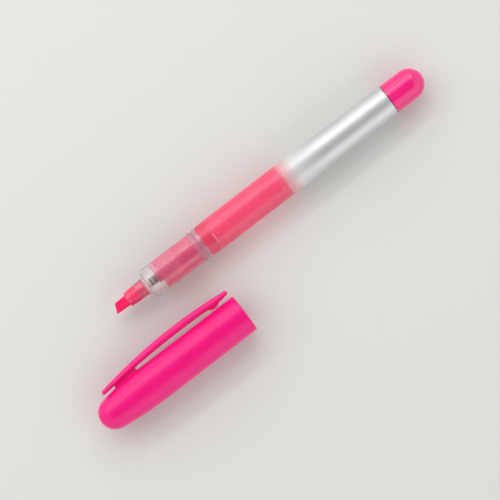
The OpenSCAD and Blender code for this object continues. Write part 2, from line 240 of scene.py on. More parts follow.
def turn(name, outline, axis, closed=True):
    """Traces an outline and spins it round the piece's axis, as on a lathe."""
    points = [Vector((x, axis[0], axis[1] + r)) for x, r in outline]
    piece = trace(name, points + points[:1] * closed)
    bpy.ops.mesh.spin(steps=turn_steps, angle=2 * pi, center=(0, *axis), axis=(1, 0, 0))
    bpy.ops.mesh.select_all(action="SELECT")
    bpy.ops.mesh.remove_doubles(threshold=merge_gap)
    bpy.ops.mesh.normals_make_consistent(inside=False)
    bpy.ops.object.mode_set(mode="OBJECT")
    return piece


def apply_modifier(piece, kind, **settings):
    """Gives the active piece a modifier with its settings, and applies it."""
    bpy.ops.object.modifier_add(type=kind)
    modifier = piece.modifiers[-1]
    for name, value in settings.items():
        setattr(modifier, name, value)
    bpy.ops.object.modifier_apply(modifier=modifier.name)


def even_shading(piece):
    """Shades round faces smoothly and lets the larger faces keep their own normals."""
    bpy.ops.object.shade_smooth_by_angle(angle=crease)
    apply_modifier(piece, "WEIGHTED_NORMAL", keep_sharp=True)


def rise(tree, value, start, end):
    """Socket that rises from 0 to 1 as a value passes from a start to an end."""
    return in_range(tree, value, start, end, 0.0, 1.0)


def between(tree, share, first, second):
    """Socket that goes from a first value to a second as share goes from 0 to 1."""
    return in_range(tree, share, 0.0, 1.0, first, second)


def calc(tree, operation, *values):
    """Socket with the result of a sum, such as ADD, on values or sockets."""
    return add_node(tree, "Math", dict(enumerate(values)), operation=operation).outputs[0]


def on_piece(tree):
    """Socket with the place on the piece, in metres."""
    return add_node(tree, "TexCoord", {}).outputs["Object"]


def stretched(tree, place, scale, rotation=(0, 0, 0)):
    """Socket with a place that is scaled along each axis and turned."""
    inputs = {"Vector": place, "Scale": scale, "Rotation": rotation}
    return add_node(tree, "Mapping", inputs).outputs["Vector"]


def noise(tree, place, scale, detail, distortion=0.0):
    """Socket with a soft random value about 0.5 that changes from place to place."""
    inputs = {"Vector": place, "Scale": scale, "Detail": detail, "Distortion": distortion}
    return add_node(tree, "TexNoise", inputs).outputs["Fac"]


# Marks that handling leaves on moulded plastic: fine grain, sparse hair scratches along the pen, and
# broad clouds where the surface is a little more or less polished.
hair_stretch = (160, 3800, 3800)
hair_turn = (0, 0.04, 0.06)
hair_level = 0.82
hair_edge = 0.05
cloud_scale = 140.0
grain_depth = 0.004 * mm
marks = bpy.data.node_groups.new("handling marks", "ShaderNodeTree")
for name, kind in (("Vector", "Vector"), ("Grain Scale", "Float"), ("Scratch Share", "Float")):
    marks.interface.new_socket(name, in_out="INPUT", socket_type="NodeSocket" + kind)
for name in ("Grain", "Scratches", "Clouds"):
    marks.interface.new_socket(name, in_out="OUTPUT", socket_type="NodeSocketFloat")
given = marks.nodes.new("NodeGroupInput").outputs
hairs = noise(marks, stretched(marks, given["Vector"], hair_stretch, hair_turn), scale=1.0, detail=1.0)
hair_floor = calc(marks, "SUBTRACT", hair_level, given["Scratch Share"])
set_inputs(marks, marks.nodes.new("NodeGroupOutput"), {
    "Grain": noise(marks, given["Vector"], given["Grain Scale"], detail=3.0),
    "Scratches": rise(marks, calc(marks, "SUBTRACT", hairs, hair_floor), 0.0, hair_edge),
    "Clouds": noise(marks, given["Vector"], cloud_scale, detail=4.0),
})


def handling_marks(tree, grain_scale, scratch_share):
    """Puts the marks in a material and gives their sockets."""
    inputs = {"Vector": on_piece(tree), "Grain Scale": grain_scale, "Scratch Share": scratch_share}
    return add_node(tree, "Group", inputs, node_tree=marks).outputs


def grain_bump(tree, rubbed, strength):
    """Socket with the normal of a surface that is uneven with the grain."""
    inputs = {"Height": rubbed["Grain"], "Strength": strength, "Distance": grain_depth}
    return add_node(tree, "Bump", inputs).outputs["Normal"]


def let_lamps_through(tree, shader, tint):
    """Lets lamplight pass a see-through finish in its tint, so that what lies behind it is lit."""
    clear = add_node(tree, "BsdfTransparent", {"Color": tint})
    lamp_ray = add_node(tree, "LightPath", {}).outputs["Is Shadow Ray"]
    mix = add_node(tree, "MixShader", {0: lamp_ray, 1: shader.outputs[0], 2: clear.outputs[0]})
    tree.links.new(mix.outputs[0], tree.nodes["Material Output"].inputs["Surface"])


clear_plastic, tree, shader = new_finish("clear_plastic")
rubbed = handling_marks(tree, grain_scale=900.0, scratch_share=0.08)
dull = between(tree, rubbed["Scratches"], *clear_roughness)
haze = in_range(tree, rubbed["Clouds"], *haze_span, 0.0, haze_roughness)
set_inputs(tree, shader, {
    "Base Color": clear_tint,
    "Transmission Weight": 1.0,
    "IOR": clear_ior,
    "Roughness": calc(tree, "ADD", dull, haze),
    "Normal": grain_bump(tree, rubbed, strength=0.04),
})
let_lamps_through(tree, shader, clear_tint)


def inside_shoulder(r):
    """Station of the shoulder's inside at a radius, which follows its outside."""
    slope = (section_x - shoulder_x) / (section_r - nose_base_r)
    return shoulder_x + shoulder_wall + (r - nose_base_r) * slope


front_section = turn("clear_front_section", rounded([
    (lip_x, nib_bore_r, lip_bore_round),
    (lip_x, lip_r, edge_round),
    (shoulder_x, nose_base_r, nose_round),
    (section_x - shoulder_lead, section_r, shoulder_round),
    (collar_x, section_r, fine_round),
    (collar_x, collar_r, edge_round),
    (groove_x, collar_r, edge_round),
    (groove_x, groove_r, fine_round),
    (rim_x, groove_r, rim_round),
    (rim_x, spigot_r, rim_round),
    (spigot_end_x, spigot_r, fine_round),
    (spigot_end_x, chamber_r, spigot_bore_round),
    (inside_shoulder(chamber_r), chamber_r, chamber_round),
    (inside_shoulder(nib_bore_r), nib_bore_r, 2 * seat_round),
]), pen_axis)
even_shading(front_section)
front_section.data.materials.append(clear_plastic)
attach(front_section, "pen")
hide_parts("front_section")

# Collector
# A comb of thin translucent fins moulded on a hollow core, with a neck that sits in the nose. It holds
# the ink that warm air drives out of the tank: a film of it lies between the fins and round the neck.
collector_low, collector_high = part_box("collector")
nib_end_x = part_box("nib")[1].x
pen_y, pen_z = pen_axis
neck_x = collector_low.x
comb_x = section_x + 3 * mm
fine_x = comb_x + 8.2 * mm
comb_end_x = rim_x - 0.6 * mm
ink_x = rim_x + 1.2 * mm
tail_tube_x = collector_high.x
# What touches the clear plastic reaches this far into it, so that no air shows between the two.
wet = 0.01 * mm
wick_bore_r = 0.82 * mm
neck_r = 1.3 * mm
neck_seat_r = 1.73 * mm
neck_seat_l = 0.6 * mm
ring_gap = 1.45 * mm
ring_t = 0.35 * mm
core_r = 1.9 * mm
fin_r = chamber_r + wet
held_ink_r = chamber_r + wet / 2
bulkhead_r = chamber_r + wet
tail_tube_r = 1.7 * mm
coarse_fin = (0.6 * mm, 0.3 * mm)
fine_fin = (0.45 * mm, 0.22 * mm)
rooted = 0.05 * mm
neck_film_low_r = 2.0 * mm
neck_film_high_r = 3.4 * mm
neck_film_t = 0.05 * mm
air_slot_w = 0.8 * mm
air_notch_l = 1.3 * mm
cut_over = 1 * mm
count_slack = 0.001
neck_in_nose = (0.42, 0.015, 0.085, 1)
neck_in_shoulder = (0.72, 0.58, 0.58, 1)
# Painted shade: where the neck shows in the empty gap behind the shoulder it is dark grey, standing in for
# the shade seen through the clear plastic there.
neck_shade_in_gap = (0.2, 0.18, 0.175, 1)
# The core's deep ink stain is painted darker still, as painted shade for the dim middle of the comb.
core_stain_and_shade_pinks = ((0.23, 0.002, 0.06, 1), (0.29, 0.006, 0.085, 1))
coarse_edge_pinks = ((0.9, 0.22, 0.38, 1), (0.96, 0.3, 0.46, 1))
fine_edge_pinks = ((0.9, 0.15, 0.32, 1), (0.95, 0.22, 0.4, 1))
held_ink_pink = (0.72, 0.01, 0.135, 1)
film_in_nose = (0.85, 0.08, 0.2, 1)
film_in_shoulder = (0.75, 0.72, 0.71, 1)
bulkhead_pink = (0.64, 0.19, 0.3, 1)
stained_tint = (0.85, 0.55, 0.58, 1)
stained_roughness = (0.22, 0.4)
film_alpha = 0.6
fin_alphas = (0.36, 0.58)
blotch_span = (0.35, 0.65)
noise_span = (0.3, 0.7)
colour_edge = 0.1 * mm
shoulder_fade = 0.4 * mm
gap_x = section_x + 0.2 * mm
gap_fade = 0.2 * mm


def ring(name, start, end, inside_r, outside_r):
    """A plain ring round the pen's axis."""
    return turn(name, [(start, inside_r), (start, outside_r), (end, outside_r), (end, inside_r)], pen_axis)


def fins(start, end, pitch, thickness):
    """A row of fins, rooted a little in the core."""
    row = ring("fins", start, start + thickness, core_r - rooted, fin_r)
    apply_modifier(
        row,
        "ARRAY",
        count=1 + int((end - thickness - start) / pitch + count_slack),
        use_relative_offset=False,
        use_constant_offset=True,
        constant_offset_displace=(pitch, 0, 0),
    )
    return row


def select_only(*pieces):
    """Selects some pieces and nothing else, with the first of them active."""
    bpy.ops.object.select_all(action="DESELECT")
    for piece in pieces:
        piece.select_set(True)
    bpy.context.view_layer.objects.active = pieces[0]


def join(*pieces):
    """Joins pieces to the first of them."""
    select_only(*pieces)
    bpy.ops.object.join()
    return pieces[0]


def cut_box(piece, low, high):
    """Cuts a box out of a piece, from its low corner to its high corner."""
    bpy.ops.object.select_all(action="DESELECT")
    bpy.ops.mesh.primitive_cube_add(size=1, location=(Vector(low) + Vector(high)) / 2)
    cutter = bpy.context.object
    cutter.scale = Vector(high) - Vector(low)
    select_only(piece)
    apply_modifier(piece, "BOOLEAN", operation="DIFFERENCE", object=cutter)
    bpy.data.objects.remove(cutter)


def neck_step(start, end):
    """Outline of a round step on the neck."""
    return [(start, neck_r), (start, neck_seat_r), (end, neck_seat_r), (end, neck_r)]


comb = join(fins(comb_x, fine_x, *coarse_fin), fins(fine_x, comb_end_x, *fine_fin))
comb.name = "collector_fins"
comb_side = fin_r + cut_over
cut_box(comb, (comb_x - cut_over, pen_y - air_slot_w / 2, pen_z - comb_side),
        (comb_end_x, pen_y + air_slot_w / 2, pen_z - core_r))
cut_box(comb, (comb_x - cut_over, pen_y - comb_side, pen_z - comb_side),
        (comb_x + air_notch_l, pen_y - core_r, pen_z + comb_side))
even_shading(comb)
neck_seat_x = inside_shoulder(nib_bore_r) - neck_seat_l
core = turn("collector_core", [
    (neck_x, wick_bore_r),
    (neck_x, neck_r),
    *neck_step(neck_seat_x, neck_seat_x + neck_seat_l),
    *neck_step(comb_x - ring_gap - ring_t, comb_x - ring_gap),
    (comb_x, neck_r),
    (comb_x, core_r),
    (rim_x, core_r),
    (rim_x, bulkhead_r),
    (ink_x, bulkhead_r),
    (ink_x, tail_tube_r),
    (tail_tube_x, tail_tube_r),
    (tail_tube_x, wick_bore_r),
], pen_axis)
comb_ink = ring("comb_ink", comb_x + air_notch_l, rim_x, core_r - rooted, held_ink_r)
neck_ink = turn("neck_ink", [
    (nib_end_x + wet, neck_r - rooted),
    (nib_end_x + wet, nib_bore_r + wet),
    (inside_shoulder(nib_bore_r) - seat_round, nib_bore_r + wet),
    (inside_shoulder(neck_film_low_r) - 2 * wet, neck_film_low_r),
    (inside_shoulder(neck_film_high_r) - 2 * wet, neck_film_high_r),
    (inside_shoulder(neck_film_high_r) + neck_film_t, neck_film_high_r),
    (inside_shoulder(neck_film_low_r) + neck_film_t, neck_film_low_r),
    (inside_shoulder(nib_bore_r) + neck_film_t, neck_r - rooted),
], pen_axis)
collector = join(core, comb_ink, neck_ink)
even_shading(collector)


def along_pen(tree):
    """Socket with the station along the pen."""
    return add_node(tree, "SeparateXYZ", {"Vector": on_piece(tree)}).outputs["X"]


def blend_colours(tree, share, first, second):
    """Socket with the first colour where share is 0 and the second where it is 1."""
    # A Mix node's colours are its inputs 6 and 7 and its output 2.
    return add_node(tree, "Mix", {"Factor": share, 6: first, 7: second}, data_type="RGBA").outputs[2]


stained_plastic, tree, shader = new_finish("stained_plastic")
rubbed = handling_marks(tree, grain_scale=2500.0, scratch_share=0.1)
offset = add_node(tree, "VectorMath", {0: on_piece(tree), 1: (0, pen_y, pen_z)}, operation="SUBTRACT")
across = add_node(tree, "VectorMath", {0: offset.outputs[0], 1: (0, 1, 1)}, operation="MULTIPLY")
reach = add_node(tree, "VectorMath", {0: across.outputs[0]}, operation="LENGTH").outputs["Value"]
along = along_pen(tree)
past_nose = rise(tree, along, shoulder_x - colour_edge, shoulder_x + shoulder_fade)
in_gap = rise(tree, along, gap_x, gap_x + gap_fade)
in_comb = rise(tree, along, comb_x - colour_edge, comb_x - wet)
on_fine = rise(tree, along, fine_x - colour_edge, fine_x + colour_edge)
past_collar = rise(tree, along, collar_x - colour_edge, collar_x + colour_edge)
in_tank = rise(tree, along, rim_x - colour_edge, rim_x - wet)
blotch = rise(tree, rubbed["Clouds"], *blotch_span)
solid_r = between(tree, in_comb, neck_r + rooted, core_r + rooted)
thin = rise(tree, calc(tree, "SUBTRACT", reach, solid_r), 0.0, rooted)
at_edge = rise(tree, reach, held_ink_r, held_ink_r + wet / 4)
neck_colour = blend_colours(tree, past_nose, neck_in_nose, neck_in_shoulder)
# Painted shade: the neck turns dark grey in the gap behind the shoulder.
neck_colour = blend_colours(tree, in_gap, neck_colour, neck_shade_in_gap)
# Ink stain plus painted shade: the core is darker than the ink that soaks it.
core_stain_and_shade_colour = blend_colours(tree, blotch, *core_stain_and_shade_pinks)
solid_colour = blend_colours(tree, in_comb, neck_colour, core_stain_and_shade_colour)
coarse_edge = blend_colours(tree, blotch, *coarse_edge_pinks)
fine_edge = blend_colours(tree, blotch, *fine_edge_pinks)
edge_colour = blend_colours(tree, on_fine, coarse_edge, fine_edge)
fin_colour = blend_colours(tree, at_edge, held_ink_pink, edge_colour)
film_colour = blend_colours(tree, past_nose, film_in_nose, film_in_shoulder)
thin_colour = blend_colours(tree, in_comb, film_colour, fin_colour)
colour = blend_colours(tree, thin, solid_colour, thin_colour)
fin_alpha = between(tree, at_edge, *fin_alphas)
thin_alpha = between(tree, in_comb, film_alpha, fin_alpha)
clearness = calc(tree, "SUBTRACT", thin, in_tank)
set_inputs(tree, shader, {
    "Base Color": blend_colours(tree, past_collar, colour, bulkhead_pink),
    "Alpha": between(tree, clearness, 1.0, thin_alpha),
    "Roughness": in_range(tree, rubbed["Grain"], *noise_span, *stained_roughness),
})
let_lamps_through(tree, shader, stained_tint)
comb.visible_shadow = False
for piece in (collector, comb):
    piece.data.materials.append(stained_plastic)
    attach(piece, "pen")
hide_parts("collector")

# Nib
# A chisel cut from a rod of bonded fibre, soaked with ink. Two broad flats and a slanted end make the
# writing edge, and use has rounded its corners. The rod is a push fit in the nose.
nib_low, nib_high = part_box("nib")
tip_x = nib_low.x
nib_r = nib_bore_r + wet
nib_length = nib_high.x - tip_x
nib_reach = lip_x - tip_x
nib_half_tip = 1.55 * mm
nib_slant = 1.35 * mm
nib_half_edge = 0.45 * mm
nib_half_back = 1.45 * mm
nib_wear = 0.16 * mm
wear_steps = 4
nib_corner = radians(25)
nib_sides = 64
cut_tolerance = 1e-7
strand_stretch = (500, 9000, 9000)
strand_pinks = ((0.88, 0.004, 0.09, 1), (0.95, 0.012, 0.14, 1))
soaked_pink = (0.85, 0.004, 0.085, 1)
soaked_span = (0.55, 0.75)
soaked_share = 0.35
housed_pink = (1.0, 0.035, 0.17, 1)
housed_fade = 0.3 * mm
fibre_roughness = (0.75, 0.5)
fuzz_depth = 0.02 * mm
fuzz_strengths = (0.35, 0.02)


def slice_off(through, towards):
    """Cuts away what lies beyond a plane and closes the cut."""
    bpy.ops.mesh.select_all(action="SELECT")
    bpy.ops.mesh.bisect(
        plane_co=through, plane_no=towards, use_fill=True, clear_outer=True, threshold=cut_tolerance)


bpy.ops.object.select_all(action="DESELECT")
bpy.ops.mesh.primitive_cylinder_add(vertices=nib_sides, radius=nib_r, depth=nib_length,
                                    location=((tip_x + nib_high.x) / 2, pen_y, pen_z),
                                    rotation=(0, pi / 2, 0))
nib = bpy.context.object
nib.name = "fibre_nib"
bpy.ops.object.transform_apply(location=True, rotation=True, scale=True)
bpy.ops.object.mode_set(mode="EDIT")
for side in (1, -1):
    slice_off((tip_x, pen_y, pen_z + side * nib_half_edge),
              (nib_half_edge - nib_half_back, 0, side * nib_reach))
    slice_off((tip_x, pen_y + side * nib_half_tip, pen_z),
              (nib_half_tip - nib_r, side * nib_reach, 0))
slice_off((tip_x, pen_y - nib_half_tip, pen_z), (-2 * nib_half_tip, nib_slant, 0))
bpy.ops.object.mode_set(mode="OBJECT")
apply_modifier(nib, "BEVEL", width=nib_wear, segments=wear_steps, angle_limit=nib_corner)
even_shading(nib)

inked_fibre, tree, shader = new_finish("inked_fibre")
place = on_piece(tree)
strands = noise(tree, stretched(tree, place, strand_stretch), scale=1.0, detail=3.0)
soak = noise(tree, place, scale=900.0, detail=4.0)
soaked = in_range(tree, soak, *soaked_span, 0.0, soaked_share)
housed = rise(tree, along_pen(tree), lip_x, lip_x + housed_fade)
strand_colour = blend_colours(tree, strands, *strand_pinks)
colour = blend_colours(tree, soaked, strand_colour, soaked_pink)
loose = between(tree, housed, *fuzz_strengths)
fuzz = add_node(tree, "Bump", {"Height": strands, "Strength": loose, "Distance": fuzz_depth})
set_inputs(tree, shader, {
    "Base Color": blend_colours(tree, housed, colour, housed_pink),
    "Roughness": in_range(tree, soak, *noise_span, *fibre_roughness),
    "Normal": fuzz.outputs["Normal"],
    "Specular IOR Level": 0.25,
})
nib.data.materials.append(inked_fibre)
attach(nib, "pen")
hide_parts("nib")

# Feed wick
# A thin fibre rod through the collector's core, from the ink in the tank to the back of the nib. It is
# hidden in the assembled pen, and takes the same inked fibre as the nib.
feed_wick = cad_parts["feed_wick"]
feed_wick.data.materials.clear()
feed_wick.data.materials.append(inked_fibre)

# Barrel
# A clear moulded tube that holds the ink. It swells a little behind its front rim, then tapers to the
# tail, and has a shallow recess where the silver film lies flush. Same clear plastic as the section.
film_low, film_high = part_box("silver_film")
stopper_low, stopper_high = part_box("tank_stopper")
straight_x = rim_x + 9.1 * mm
taper_x = straight_x + 25 * mm
film_x = film_low.x
film_end_x = film_high.x
tail_x = barrel_high.x
tail_bore_x = tail_x - 8 * mm
bore_taper_x = stopper_high.x
rim_r = 5.25 * mm
barrel_r = 5.45 * mm
tail_r = 5.0 * mm
bore_r = 4.72 * mm
tail_bore_r = 4.3 * mm
film_t = 0.06 * mm
rim_gap = 0.02 * mm
barrel_rim_round = 0.2 * mm
swell_steps = 8
first_swell_step = 2


def swell(i):
    """Point on the swell behind the rim, which runs out level into the straight part."""
    share = i / swell_steps
    return (rim_x + (straight_x - rim_x) * share, barrel_r - (barrel_r - rim_r) * (1 - share) ** 2)


def taper_r(x):
    """Radius of the barrel's outside where it tapers to the tail."""
    return barrel_r + (tail_r - barrel_r) * max(0, x - taper_x) / (tail_x - taper_x)


barrel = turn("clear_barrel", rounded([
    (rim_x + rim_gap, bore_r, fine_round),
    (rim_x + rim_gap, rim_r, barrel_rim_round),
    *[swell(i) for i in range(first_swell_step, swell_steps + 1)],
    (film_x, barrel_r),
    (film_x, barrel_r - film_t),
    (taper_x, barrel_r - film_t),
    (film_end_x, taper_r(film_end_x) - film_t),
    (film_end_x, taper_r(film_end_x)),
    (tail_x, tail_r, fine_round),
    (tail_x, tail_bore_r, fine_round),
    (tail_bore_x, tail_bore_r),
    (bore_taper_x, bore_r),
]), pen_axis)
even_shading(barrel)
barrel.data.materials.append(clear_plastic)
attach(barrel, "pen")
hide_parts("barrel")

# Ink
# Bright pink dye ink that fills the tank from the collector's bulkhead to the stopper. It wets the wall,
# creeps a little way round the spigot and the stopper, and lets some of what stands in it show.
ink_low, ink_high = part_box("ink")
wick_end_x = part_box("feed_wick")[1].x
wick_r = 0.8 * mm
ink_gap = 0.02 * mm
creep_l = 2.2 * mm
creep_t = 0.02 * mm
ink_pinks = ((0.84, 0.07, 0.185, 1), (0.91, 0.1, 0.225, 1))
ink_roughness = (0.5, 0.65)
ink_alphas = (0.85, 0.75)
ink_tint = (0.95, 0.55, 0.6, 1)
clearing_l = 2.5 * mm
# Painted glow: the ink over the spigot is a stronger pink, standing in for the light that glows through
# thicker ink, which the thin layer there lacks.
sleeve_glow_pink = (0.9, 0.035, 0.13, 1)
sleeve_end_x = spigot_end_x - 0.2 * mm
sleeve_fade = 0.4 * mm
sleeve_glow_share = 0.7
thin_pink = (0.97, 0.33, 0.4, 1)
thin_l = 5 * mm
thin_share = 0.45
# Painted highlight: pale pink patches in the ink just round the spigot's end, where its rim would catch
# the light.
spigot_glint_pink = (1.0, 0.3, 0.38, 1)
glint_near = 0.15 * mm
glint_far = 0.5 * mm
glint_span = (0.44, 0.54)
glint_share = 0.7
ink = turn("pink_ink", [
    (wick_end_x + ink_gap, 0),
    (wick_end_x + ink_gap, wick_r + ink_gap),
    (tail_tube_x + ink_gap, wick_r + ink_gap),
    (tail_tube_x + ink_gap, tail_tube_r + ink_gap),
    (ink_low.x, tail_tube_r + ink_gap),
    (ink_low.x, chamber_r + wet),
    (spigot_end_x + ink_gap, chamber_r + wet),
    (spigot_end_x + ink_gap, spigot_r + wet),
    (ink_low.x, spigot_r + wet),
    (ink_low.x, bore_r + wet),
    (ink_high.x + creep_l, bore_r + wet),
    (ink_high.x + creep_l, bore_r - creep_t),
    (ink_high.x, bore_r - creep_t),
    (ink_high.x, 0),
], pen_axis, closed=False)
even_shading(ink)

bright_ink, tree, shader = new_finish("bright_ink")
along = along_pen(tree)
swirl = noise(tree, on_piece(tree), scale=220.0, detail=3.0, distortion=0.6)
# Painted glow: a stronger pink on the ink over the spigot.
sleeve_glow = in_range(tree, along, sleeve_end_x - sleeve_fade, sleeve_end_x, sleeve_glow_share, 0.0)
thinned = in_range(tree, along, ink_high.x - thin_l, ink_high.x, 0.0, thin_share)
# Painted highlight: pale patches in the ink by the spigot's end.
from_seam = calc(tree, "ABSOLUTE", calc(tree, "SUBTRACT", along, spigot_end_x))
glint_patches = in_range(tree, swirl, *glint_span, 0.0, glint_share)
spigot_glint = in_range(tree, from_seam, glint_near, glint_far, glint_patches, 0.0)
colour = blend_colours(tree, swirl, *ink_pinks)
colour = blend_colours(tree, sleeve_glow, colour, sleeve_glow_pink)
colour = blend_colours(tree, thinned, colour, thin_pink)
set_inputs(tree, shader, {
    "Base Color": blend_colours(tree, spigot_glint, colour, spigot_glint_pink),
    "Alpha": in_range(tree, along, ink_high.x - clearing_l, ink_high.x + creep_l, *ink_alphas),
    "Roughness": in_range(tree, swirl, *noise_span, *ink_roughness),
    "Specular IOR Level": 0.05,
    "Subsurface Weight": 0.6,
    "Subsurface Radius": (1.0, 0.12, 0.2),
    "Subsurface Scale": 4 * mm,
})
let_lamps_through(tree, shader, ink_tint)
ink.data.materials.append(bright_ink)
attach(ink, "pen")
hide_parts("ink")

# Tank stopper
# A small clear cup pressed into the barrel's bore behind the ink, open towards the tail. It is moulded
# in the same clear plastic as the barrel.
stopper_x = stopper_low.x
stopper_r = bore_r - creep_t - wet
stopper_wall = 0.8 * mm
stopper_round = 0.2 * mm
stopper_rim_round = 0.15 * mm
stopper_floor_round = 0.4 * mm
stopper = turn("tank_stopper_cup", rounded([
    (stopper_x + ink_gap, 0),
    (stopper_x + ink_gap, stopper_r, stopper_round),
    (bore_taper_x, stopper_r, stopper_rim_round),
    (bore_taper_x, bore_r - stopper_wall, stopper_rim_round),
    (stopper_x + stopper_wall, bore_r - stopper_wall, stopper_floor_round),
    (stopper_x + stopper_wall, 0),
]), pen_axis, closed=False)
even_shading(stopper)
stopper.data.materials.append(clear_plastic)
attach(stopper, "pen")
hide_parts("tank_stopper")

# Silver film
# A metallised transfer film round the rear of the barrel. Its front edge is printed as a fine fade, so the
# ink and the clear wall show through there. Satin, with faint marks of handling.
film_depth = 0.055 * mm
fade_l = 5.6 * mm
bare_l = 0.3 * mm
dense_l = 3 * fade_l
silver_greys = ((0.62, 0.625, 0.63, 1), (0.67, 0.672, 0.675, 1))
silver_metal = (0.05, 0.75)
silver_roughness = (0.4, 0.48)
silver_scuff = 0.12
# Painted glow: the film's first millimetres are a pale pink, standing in for the ink's light showing
# through the fade.
painted_glow_pink = (1.0, 0.7, 0.72, 1)
painted_glow_l = 2 * mm
painted_glow_fade = 4 * mm
silver = turn("silver_film_wrap", [
    (film_x, barrel_r - film_depth),
    (film_x, barrel_r),
    (taper_x, barrel_r),
    (film_end_x, taper_r(film_end_x)),
    (film_end_x, taper_r(film_end_x) - film_depth),
    (taper_x, barrel_r - film_depth),
], pen_axis)
even_shading(silver)


def clouded(tree, rubbed, first, second):
    """Socket that drifts from one colour to another with the clouds of the marks."""
    return blend_colours(tree, rise(tree, rubbed["Clouds"], *noise_span), first, second)


silver_foil, tree, shader = new_finish("silver_foil")
rubbed = handling_marks(tree, grain_scale=6000.0, scratch_share=0.14)
along = along_pen(tree)
# Painted glow at the film's front, fading into the silver.
past_painted_glow = rise(tree, along, film_x + painted_glow_l, film_x + painted_glow_l + painted_glow_fade)
satin = in_range(tree, rubbed["Grain"], *noise_span, *silver_roughness)
scuffed = between(tree, rubbed["Scratches"], 0.0, silver_scuff)
set_inputs(tree, shader, {
    "Base Color": blend_colours(tree, past_painted_glow, painted_glow_pink, clouded(tree, rubbed, *silver_greys)),
    "Alpha": rise(tree, along, film_x + bare_l, film_x + fade_l),
    "Metallic": in_range(tree, along, film_x, film_x + dense_l, *silver_metal),
    "Roughness": calc(tree, "ADD", satin, scuffed),
})
silver.data.materials.append(silver_foil)
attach(silver, "pen")
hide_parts("silver_film")

# Tail plug
# A domed plug of glossy hot pink plastic, hollow, with a spigot pressed into the barrel's tail. A fine
# rounded edge meets the barrel.
plug_low, plug_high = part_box("tail_plug")
plug_r = 5.0 * mm
plug_wall = 1.2 * mm
plug_spigot_r = 4.28 * mm
core_hole_r = plug_spigot_r - plug_wall
dome_x = plug_high.x - plug_r
joint_gap = 0.02 * mm
plug_hole_round = 0.2 * mm
plug_lead_round = 0.3 * mm
plug_edge_round = 0.15 * mm
dome_steps = 16
plug_pinks = ((0.87, 0.004, 0.19, 1), (0.91, 0.006, 0.215, 1))
plug_roughness = (0.06, 0.1)
plug_scuff = 0.25


def dome(centre, radius, count):
    """Points of a quarter round from its widest ring to its tip on the axis."""
    steps = [pi / 2 * i / count for i in range(count + 1)]
    return [(centre + radius * sin(a), radius * cos(a)) for a in steps]


plug = turn("pink_tail_plug", rounded([
    *reversed(dome(dome_x, core_hole_r, dome_steps // 2)),
    (plug_low.x, core_hole_r, plug_hole_round),
    (plug_low.x, plug_spigot_r, plug_lead_round),
    (tail_x + joint_gap, plug_spigot_r),
    (tail_x + joint_gap, plug_r, plug_edge_round),
    *dome(dome_x, plug_r, dome_steps),
]), pen_axis, closed=False)
even_shading(plug)

glossy_pink, tree, shader = new_finish("glossy_pink")
rubbed = handling_marks(tree, grain_scale=1200.0, scratch_share=0.16)
polish = in_range(tree, rubbed["Clouds"], *noise_span, *plug_roughness)
scuffed = between(tree, rubbed["Scratches"], 0.0, plug_scuff)
set_inputs(tree, shader, {
    "Base Color": clouded(tree, rubbed, *plug_pinks),
    "Roughness": calc(tree, "ADD", polish, scuffed),
    "Normal": grain_bump(tree, rubbed, strength=0.3),
    "Specular IOR Level": 0.75,
})
plug.data.materials.append(glossy_pink)
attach(plug, "pen")
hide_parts("tail_plug")

# Cap
# A satin pink moulding with a blunt dome, a long taper and a round-edged mouth. Its bore slides over the
# section up to the collar, and a narrower cavity ahead of the bore holds the liner.
cap_low, cap_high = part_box("cap_shell")
liner_low, liner_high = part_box("inner_cap")
cap_axis = ((liner_low.y + liner_high.y) / 2, (liner_low.z + liner_high.z) / 2)
cap_tip_x = cap_low.x
mouth_x = cap_high.x
cap_bore_x = liner_high.x
cap_r = 6.4 * mm
cap_dome_r = 5.3 * mm
cap_dome_x = cap_tip_x + cap_dome_r
cap_taper_l = 21 * mm
cap_bore_r = 5.15 * mm
cavity_r = 4.6 * mm
cap_wall = 1.3 * mm
mouth_round = 0.3 * mm
cap_dome_steps = 18
cap_taper_steps = 14
cavity_steps = 10
cap_pinks = ((0.85, 0.001, 0.185, 1), (0.89, 0.002, 0.205, 1))
cap_roughness = (0.26, 0.36)
cap_scuff = 0.12
scuff_pink = (0.92, 0.12, 0.36, 1)
satin_tint = (0.85, 0.7, 1.0, 1)
cap_taper_r = ((cap_taper_l - cap_dome_r) ** 2 / (cap_r - cap_dome_r) + cap_dome_r + cap_r) / 2
cap_taper_tilt = asin((cap_taper_l - cap_dome_r) / (cap_taper_r - cap_dome_r))
dome_points = [
    (cap_dome_x - cap_dome_r * cos(a), cap_dome_r * sin(a))
    for a in [(pi / 2 - cap_taper_tilt) * i / cap_dome_steps for i in range(cap_dome_steps)]
]
taper_points = [
    (cap_tip_x + cap_taper_l - cap_taper_r * sin(a), cap_r - cap_taper_r + cap_taper_r * cos(a))
    for a in [cap_taper_tilt * (1 - i / cap_taper_steps) for i in range(cap_taper_steps + 1)]
]
cavity_points = [
    (2 * cap_dome_x - x, r) for x, r in dome(cap_dome_x, cap_dome_r - cap_wall, cavity_steps)
]
cap = turn("pink_cap", rounded([
    *dome_points,
    *taper_points,
    (mouth_x, cap_r, mouth_round),
    (mouth_x, cap_bore_r, mouth_round),
    (cap_bore_x, cap_bore_r),
    (cap_bore_x, cavity_r),
    (cap_tip_x + cap_taper_l, cavity_r),
    *cavity_points,
]), cap_axis, closed=False)
even_shading(cap)

